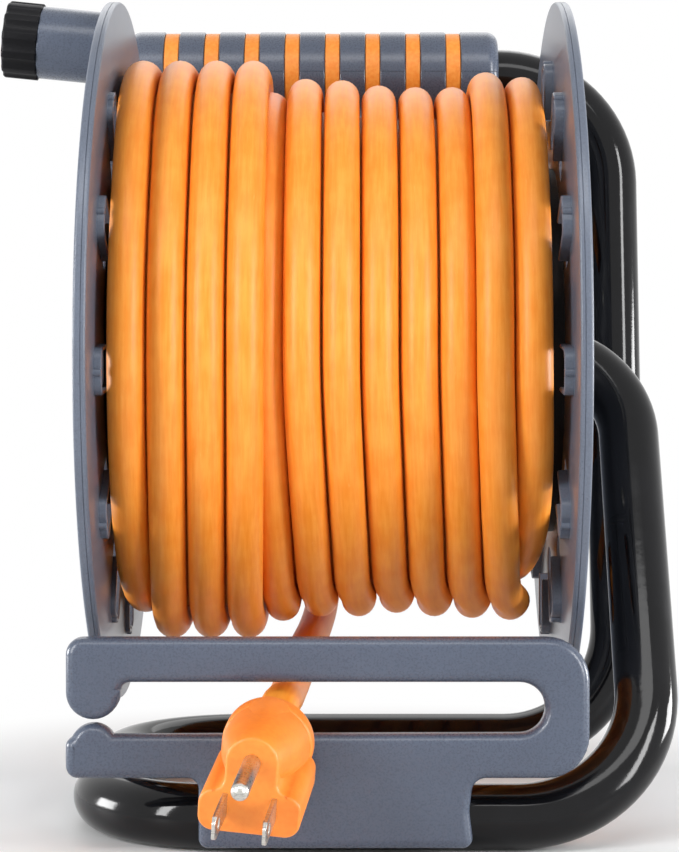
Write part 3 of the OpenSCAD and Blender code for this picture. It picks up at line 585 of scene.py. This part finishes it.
# Upright plates are drawn on X and Z; their own Z axis points to the front.
upright = Matrix(((1, 0, 0, 0), (0, 0, -1, 0), (0, 1, 0, 0), (0, 0, 0, 1)))
upper_bar = [(-71, 60, 4.5), (-71, 37.9, 7.4), (-56.2, 37.9, 7.4), (-56.2, 48, 2.7)]
slot_end = [(59, 48, 6.99), (59, 34, 6.99)]
knob_top = [(x, y, 0) for x, y in arc(-63.6, 30.3, 6.4, 31, 157, 12)]
lower_bar = [(-71, 32.2, 2.3), (-71, 22, 3.3), (-35, 22, 3)]
foot = [(-35, 3, 2.7), (39.6, 3, 2.7), (38.4, 13, 8), (39.4, 22, 4)]
right_end = [(71, 22, 11.5), (71, 60, 11.5)]
guide_line = rounded(upper_bar + slot_end + knob_top + lower_bar + foot + right_end)
guide = shown(
    "guide_plate", plate([guide_line], 0.0911, 0.098, 0.0026, low_edge=0.0012), "frame", slate,
    slot="housing_plastic", sharp=50, place=upright)
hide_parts("cord_guide")
saddle_line = rounded([(-34.4, 21.6, 1), (-34.4, 3.4, 2.2), (38, 3.4, 2.2), (38, 21.6, 1)])
shown(
    "guide_saddle", plate([saddle_line], 0.0827, 0.0955, 0.0006), "frame", slate,
    slot="housing_plastic", sharp=50, place=upright)


# Drum. Two flanges of moulded slate-blue plastic, glossier than the grip, screwed
# to a hollow core. Their windows have thin lips inside, and there is a rib between
# every two. The 8.6 mm wide rim has the line of the mould round its face.
flange_plastic, on_flange = finish("flange_plastic")
flow = on_flange.noise(24, 3.0, 0.6)
speckle = on_flange.noise(1600, 2.0, 0.6)
flange_colour = (flow * 0.5 + speckle * 0.5).over(0.32, 0.68).between(colour(88, 95, 109), colour(100, 108, 123))
dress(
    flange_plastic,
    Base_Color=flange_colour,
    Roughness=0.24 + speckle * 0.12,
    Normal=(speckle * 0.6 + flow * 0.4).bump(0.00005),
)


def circle(r, steps=180):
    """A circle's points, counter-clockwise, in metres."""
    return [Vector(p) for p in arc(0, 0, r, 0, 360, steps)[:-1]]


def turned_about(line, angle):
    """An outline turned about the origin by an angle in degrees."""
    cos, sin = math.cos(math.radians(angle)), math.sin(math.radians(angle))
    return [Vector((p.x * cos - p.y * sin, p.x * sin + p.y * cos)) for p in line]


def joined(shapes):
    """Several shapes as one."""
    whole = bmesh.new()
    for one in shapes:
        passing = bpy.data.meshes.new("passing")
        one.to_mesh(passing)
        one.free()
        whole.from_mesh(passing)
        bpy.data.meshes.remove(passing)
    return whole


window = rounded([(62, -5.5, 3), (87, -5.5, 3), (87, 5.5, 3), (62, 5.5, 3)], 6)
lip = rounded([
    (71, -6.7, 0), (88.2, -6.7, 4.2), (88.2, 6.7, 4.2), (71, 6.7, 0), (71, 5.5, 0), (87, 5.5, 3), (87, -5.5, 3),
    (71, -5.5, 0)], 6)
pip = rounded([(86.5, -1.1, 0), (89.2, -1.1, 1), (89.2, 1.1, 1), (86.5, 1.1, 0)], 4)
rib = rounded([(56, -1.2, 0), (99, -1.2, 0), (99, 1.2, 0), (56, 1.2, 0)])
left_lips = [0.8, 0.8, 0.6, 0, 0.3, 0.3, 0.3, 0.3, 0.3, 0.5, 0.5, 0.8]
far_side = Matrix(((1, 0, 0, 0), (0, 1, 0, 0), (0, 0, -1, 0), (0, 0, 0, 1)))


def flange(name, opening, lips, place):
    """A flange, with its outer side up. Its lips are shares of 2.8 mm, and where one is 0 there is no window."""
    inside, outside, lip_h, sunk = flange_in, 0.069, 0.0028, 0.0002
    holes, raised = [list(reversed(circle(opening)))], []
    for i, share in enumerate(lips):
        window_at, rib_at = 30 * i - 4, 30 * i + 11
        if share:
            holes.append(list(reversed(turned_about(window, window_at))))
            for outline in (lip, pip):
                outline = turned_about(outline, window_at)
                raised.append(plate([outline], inside - lip_h * share, inside + sunk, 0.0001, 1, 0.0003))
        raised.append(plate([turned_about(rib, rib_at)], outside - 0.0005, 0.0696, 0.0005, 3, low_edge=0.0001))
    disc = plate([circle(0.1068), *holes], inside, outside, 0.0004, 3)
    bead = [(0.0984, 0.0675), (0.1045, 0.06615)] + arc(0.1062, 0.0668, 0.0008, -90, 0, 4)
    bead += [(0.107, 0.06728), (0.10675, 0.06742), (0.107, 0.06756)]
    bead += arc(0.1062, 0.0688, 0.0008, 0, 90, 4) + arc(0.0992, 0.0688, 0.0008, 90, 180, 4)
    hub = [(0.0552, 0.0685)] + arc(0.0562, 0.0687, 0.0009, 180, 90, 5) + arc(0.0572, 0.0687, 0.0009, 90, 0, 5)
    hub += [(0.0582, 0.0685)]
    parts = [disc, turned(bead, 256), turned(hub), *raised]
    return shown(name, joined(parts), "drum", flange_plastic, slot="flange_plastic", sharp=35, place=place)


left = flange("left_flange_plate", 0.044, left_lips, drum_place)
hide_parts("left_flange")
right = flange("right_flange_plate", 0.020, [1] * 12, drum_place @ far_side)
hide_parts("right_flange")
repaint(flange_plastic, "outlet_housing")
round_edges(0.0003, "outlet_housing")


# Bushes. Two turned nylon sleeves in the drum's webs, running on the axle.
nylon, on_nylon = finish("natural_nylon")
milky = on_nylon.noise(90, 2.0)
dress(
    nylon,
    Base_Color=milky.over(0.3, 0.7).between(colour(214, 208, 190), colour(232, 228, 214)),
    Roughness=0.38 + milky * 0.1,
    Subsurface_Weight=0.1,
    Normal=on_nylon.times(8, 1, 1).noise(500, 1.0).bump(0.00003),
)
repaint(nylon, "left_bush", "right_bush")
round_edges(0.0004, "left_bush", "right_bush", "thrust_collar", "axle_washer")


# Outlets. A black phenolic panel with four grounded outlets and a red reset
# button, over brass bus bars and a breaker with a steel spring.
brass, on_brass = finish("brass")
rolled = on_brass.times(1, 8, 8).noise(300, 2.0)
dress(
    brass,
    Base_Color=rolled.over(0.3, 0.7).between(colour(196, 150, 74), colour(222, 182, 104)),
    Metallic=1.0,
    Roughness=0.26 + rolled * 0.16,
)
red, on_button = finish("red_button")
tone = on_button.noise(400, 2.0)
dress(
    red,
    Base_Color=tone.over(0.3, 0.7).between(colour(176, 26, 18), colour(198, 38, 26)),
    Roughness=0.3 + tone * 0.1,
)
repaint(phenolic, "outlet_panel", "breaker_body", "lead_grommet", "handle_plug", "drum_core")
repaint(brass, "line_bus", "neutral_bus", "ground_bus")
repaint(red, "reset_button")
repaint(jacket, "inner_lead")
round_edges(0.0003, "outlet_panel", "reset_button", "axle_plug")

# Reset spring. Five coils of steel wire in the breaker's bore push the button
# out. The real spring gets shorter as the button goes in; here it is drawn at one
# length, on a mesh of its own.
coils = []
for i in range(101):
    t = math.radians(18 * i)
    coils.append(mm(-65.2 + 0.093 * i, 3.3 * math.cos(t), 138 + 3.3 * math.sin(t)))
spring = shown("reset_spring", drawn(coils, 0.0005, 10), "drum", zinc, slot="steel", sharp=60)
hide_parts("breaker_spring")
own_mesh(spring)


# Crank. A slate-blue barrel turns on a steel pin in the left flange, and a
# black cap with twelve flutes closes it. Its boss is moulded on the flange.
crank_place = Matrix.Translation((-0.0674, 0.00393, 0.23167)) @ Matrix.Rotation(math.radians(-84.3), 4, "Y")
boss = [(0.0, -0.0015), (0.0104, -0.0015), (0.0102, 0.0)] + arc(0.0095, 0.0033, 0.0007, 0, 90, 5) + [(0.0, 0.004)]
shown("crank_boss", turned(boss), "drum", flange_plastic, slot="flange_plastic", place=crank_place)
sleeve = [(0.0041, 0.0046)] + arc(0.0106, 0.005, 0.0006, -90, 0, 5) + arc(0.011, 0.0235, 0.0002, 0, 90, 3)
sleeve += [(0.0096, 0.0237), (0.0096, 0.0302), (0.0071, 0.0302), (0.0071, 0.0237), (0.0041, 0.0237)]
barrel = shown("crank_sleeve", turned(sleeve), "crank_knob", slate, slot="housing_plastic", place=crank_place)
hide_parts("crank_barrel")

# The cap's outline, a circle with a hollow flute at every 30 degrees.
cap_r, flute_r, flute_at = 0.0119, 0.0036, 0.0147
cap_line = []
for start in range(0, 360, 30):
    middle = math.radians(start + 15)
    x, y = flute_at * math.cos(middle), flute_at * math.sin(middle)
    cap_line += arc(0, 0, cap_r, start, start + 5, 3)
    cap_line += arc(x, y, flute_r, start + 15 + 180 + 34, start + 15 + 180 - 34, 8)
    cap_line += arc(0, 0, cap_r, start + 25, start + 29, 3)
cap_line = [Vector(p) for p in cap_line]
cap_shape = plate([cap_line], 0.0237, 0.0346, 0.0009, 5, low_edge=0.0004)
cap = shown(
    "crank_fluted_cap", cap_shape, "crank_knob", phenolic, slot="black_plastic", sharp=50, place=crank_place)
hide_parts("crank_cap")


# Plug. Orange PVC moulded over the end of the free cord, flared to a round collar
# behind its face. Two nickelled blades and a rolled ground pin stand out of it.
plug_pvc, on_plug = finish("plug_pvc")
grainy = on_plug.noise(700, 2.0)
clouds = on_plug.noise(60, 2.0)
pvc_colour = (grainy * 0.4 + clouds * 0.6).over(0.3, 0.7).between(colour(237, 124, 36), colour(247, 144, 54))
dress(
    plug_pvc,
    Base_Color=pvc_colour,
    Roughness=0.36 + grainy * 0.12,
    Normal=grainy.bump(0.00006),
)
nickel, on_nickel = finish("nickel")
rubbed = on_nickel.times(1, 6, 6).noise(400, 3.0)
dress(
    nickel,
    Base_Color=rubbed.over(0.3, 0.7).between(colour(186, 184, 178), colour(214, 212, 206)),
    Metallic=1.0,
    Roughness=0.2 + rubbed * 0.18,
)
plug_place = Matrix.Translation((-0.0156, -0.108, 0.0336)) @ Matrix.Rotation(math.radians(-6.3), 4, "Z")
plug_place = plug_place @ Matrix.Rotation(math.radians(12), 4, "X") @ Matrix.Rotation(math.radians(5.3), 4, "Y")
face_on = plug_place @ upright
lobe = [(x, y, 0) for x, y in arc(0, 6.5, 6.8, 0, 180, 24)]
shoulders = [(-6.8, -1.5, 3), (-13.2, -1.5, 4), (-13.2, -12.9, 4), (13.2, -12.9, 4), (13.2, -1.5, 4)]
body_line = rounded([(6.8, -1.5, 3)] + lobe + shoulders)
collar = [(0.0, -0.003)] + arc(0.0108, -0.0016, 0.0014, -90, 0, 5) + arc(0.0108, 0.0016, 0.0014, 0, 90, 5)
collar += [(0.0, 0.003)]
strain = [(0.0, -0.0005), (0.00725, -0.0005), (0.0071, 0.003)]
strain += arc(0.0056, 0.007, 0.0004, 0, 90, 4) + [(0.0, 0.0074)]
strain_shape = turned(strain, 64)
strain_shape.transform(Matrix.Translation((0, 0.0035, 0)) @ Matrix.Rotation(math.pi, 4, "X"))
flare_from, flare_to, rise = 0.002, 0.0301, 0.0065
flare = turned([
    (0.0, flare_from), (0.0117, flare_from), (0.0113, 0.008), (0.0103, 0.015), (0.0088, 0.0225),
    (0.00676, flare_to), (0.0, flare_to)], 96)
for v in flare.verts:
    v.co.y += rise * (v.co.z - flare_from) / (flare_to - flare_from)
plug_shape = joined([plate([body_line], 0.0, 0.031, 0.0009, 4), turned(collar, 96), flare, strain_shape])
plug = shown("plug_moulding", plug_shape, "frame", plug_pvc, slot="plug", sharp=45, place=face_on)
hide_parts("plug_body")

blade_line = rounded([
    (-0.5, -3.1, 0), (15.2, -3.1, 1), (17.4, -2.1, 0.8), (17.4, 2.1, 0.8), (15.2, 3.1, 1), (-0.5, 3.1, 0)])
blade_hole = [Vector((p.x + 0.0124, p.y)) for p in reversed(circle(0.0016, 32))]
standing = Matrix(((0, 0, 1, 0), (0, 1, 0, 0), (1, 0, 0, 0), (0, 0, 0, 1)))
blade_dx, blade_t, taper_from, taper_len = 0.00635, 0.0014, 0.0145, 0.003
blades = []
for side in (-1, 1):
    blade = plate([blade_line, blade_hole], -blade_t / 2, blade_t / 2, 0.0003, 2)
    for v in blade.verts:
        v.co.z *= 1 - 0.45 * min(1, max(0, (v.co.x - taper_from) / taper_len))
    blade.transform(Matrix.Translation((side * blade_dx, -0.0053, 0.031)) @ standing)
    blades.append(blade)
blade_pair = shown("blade_pair", joined(blades), "frame", nickel, slot="blade", sharp=40, place=face_on)
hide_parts("plug_blades")
pin_profile = [(0.0, 0.03), (0.0023, 0.03)] + arc(0.0, 0.0496, 0.00235, 0, 90, 10)
pin_place = face_on @ Matrix.Translation((0, 0.0066, 0))
ground_pin = shown("ground_pin", turned(pin_profile, 64), "frame", nickel, slot="blade", place=pin_place)
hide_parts("plug_ground_pin")


# Screws. Zinc-plated pan heads with a cross. They hold the flanges and the outlet
# panel from outside, the guide from behind its rail and the grip from below.
def screw(head_r, head_h, shank_r, length, place):
    """A screw, with its head above XY and its shank below it."""
    wide, narrow = 0.9 * shank_r, 0.3 * shank_r
    arm = [Vector((narrow, wide)), Vector((narrow, narrow)), Vector((wide, narrow))]
    cross = [point for angle in (0, -90, -180, -270) for point in turned_about(arm, angle)]
    head = plate([circle(head_r, 36), cross], 0, head_h, 0.00025, 2)
    for v in head.verts:
        v.co.z *= 1 - 0.4 * (v.co.x**2 + v.co.y**2) / head_r**2
    shank = turned([(0.0, -length), (shank_r, -length), (shank_r, 0.3 * head_h), (0.0, 0.3 * head_h)], 24)
    whole = joined([head, shank])
    whole.transform(place)
    return whole


def at_clock(angle, r, height):
    """A place on the drum's end, in its own frame. Each is turned, so that the crosses don't line up."""
    turn = Matrix.Rotation(math.radians(angle), 4, "Z")
    return turn @ Matrix.Translation((r, 0, height)) @ turn


flange_screws = []
for angle in range(30, 390, 60):
    flange_screws.append(screw(0.003, 0.002, 0.002, 0.015, at_clock(angle, 0.0505, 0.069)))
    flange_screws.append(screw(0.003, 0.002, 0.002, 0.015, far_side @ at_clock(angle, 0.0505, 0.069)))
panel_screws = []
for angle in range(0, 360, 90):
    panel_screws.append(screw(0.003, 0.0018, 0.0015, 0.016, at_clock(angle, 0.0385, 0.072)))
backwards, down = (Matrix.Rotation(math.radians(angle), 4, "X") for angle in (-90, 180))
guide_screws, grip_screws = [], []
for side in (-1, 1):
    behind = Matrix.Translation((0.002 + 0.022 * side, -0.0735, 0.009)) @ backwards
    guide_screws.append(screw(0.004, 0.0024, 0.002, 0.022, behind))
    for x in (-0.04915, 0.03305):
        below = Matrix.Translation((x, grip_y + 0.0117 * side, grip_z - 0.0042)) @ down
        grip_screws.append(screw(0.0019, 0.0016, 0.0014, 0.0085, below))
for name, body, screws, place in (
    ("flange_screws", "drum", flange_screws, drum_place), ("panel_screws", "drum", panel_screws, drum_place),
    ("guide_screws", "frame", guide_screws, None), ("grip_screws", "frame", grip_screws, None),
):
    piece = shown(name + "_crossed", joined(screws), body, zinc, slot="steel", place=place)
    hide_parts(name)


# Floor and light. A pale floor that fades into white, a white room that only
# the camera and reflections see, and soft lamps at the front, sides and top.
floor_shape = bmesh.new()
bmesh.ops.create_circle(floor_shape, cap_ends=True, segments=96, radius=4.0)
mesh = bpy.data.meshes.new("floor")
floor_shape.to_mesh(mesh)
floor_shape.free()
floor = bpy.data.objects.new("floor", mesh)
scene.collection.objects.link(floor)


def seen_in(tree):
    """1 where the camera looks, also by way of a reflection or through something clear, and 0 elsewhere."""
    rays = tree.nodes.new("ShaderNodeLightPath").outputs
    kinds = ("Camera", "Glossy", "Transmission")
    straight, gloss, clear = (Shade(tree, rays[f"Is {kind} Ray"]) for kind in kinds)
    return (straight + gloss + clear) > 0.5


pale, on_floor = finish("pale_floor")
dress(pale, Base_Color=colour(246, 246, 246), Roughness=0.5 + on_floor.noise(30, 2.0) * 0.1)
tree = pale.node_tree
distance = on_floor.add("VectorMath", {"operation": "LENGTH"}, {0: on_floor}, out=1)
fade = distance.over(0.11, 0.2) * seen_in(tree)
glow = fade.add("Emission", {}, {"Color": (1, 1, 1, 1), "Strength": 1.0})
surface = Shade(tree, tree.nodes["Principled BSDF"].outputs[0])
mixed = fade.add("MixShader", {}, {0: fade, 1: surface, 2: glow})
tree.links.new(mixed.socket, tree.nodes["Material Output"].inputs["Surface"])
mesh.materials.append(pale)

world = bpy.data.worlds.new("room")
scene.world = world
world.use_nodes = True
tree = world.node_tree
tree.nodes.clear()
seen = seen_in(tree)
backdrop = seen.add("Background", {}, {"Color": (1, 1, 1, 1), "Strength": 1.0})
ambient = seen.add("Background", {}, {"Color": (1, 1, 1, 1), "Strength": 0.12})
mixed = seen.add("MixShader", {}, {0: seen, 1: ambient, 2: backdrop})
output = tree.nodes.new("ShaderNodeOutputWorld")
tree.links.new(mixed.socket, output.inputs["Surface"])


def lamp(name, place, size, power, aim=(0.0, 0.0, 0.12)):
    """A soft rectangular lamp that the camera doesn't see."""
    data = bpy.data.lights.new(name, "AREA")
    data.shape = "RECTANGLE"
    data.size, data.size_y = size
    data.energy = power
    made = bpy.data.objects.new(name, data)
    made.location = place
    made.rotation_euler = (Vector(aim) - Vector(place)).to_track_quat("-Z", "Y").to_euler()
    made.visible_camera = False
    scene.collection.objects.link(made)


lamp("key_left", (-1.0, -0.9, 0.55), (0.2, 0.9), 12)
lamp("key_right", (1.05, -0.85, 0.45), (0.24, 0.9), 13)
lamp("top_front", (0.0, -0.75, 1.0), (1.0, 0.3), 4)
lamp("side_left", (-1.1, 0.12, 0.15), (0.35, 0.35), 9)
lamp("side_right", (1.1, 0.12, 0.15), (0.35, 0.35), 9)
lamp("back_top", (0.0, 0.9, 0.9), (1.0, 0.6), 2.5)
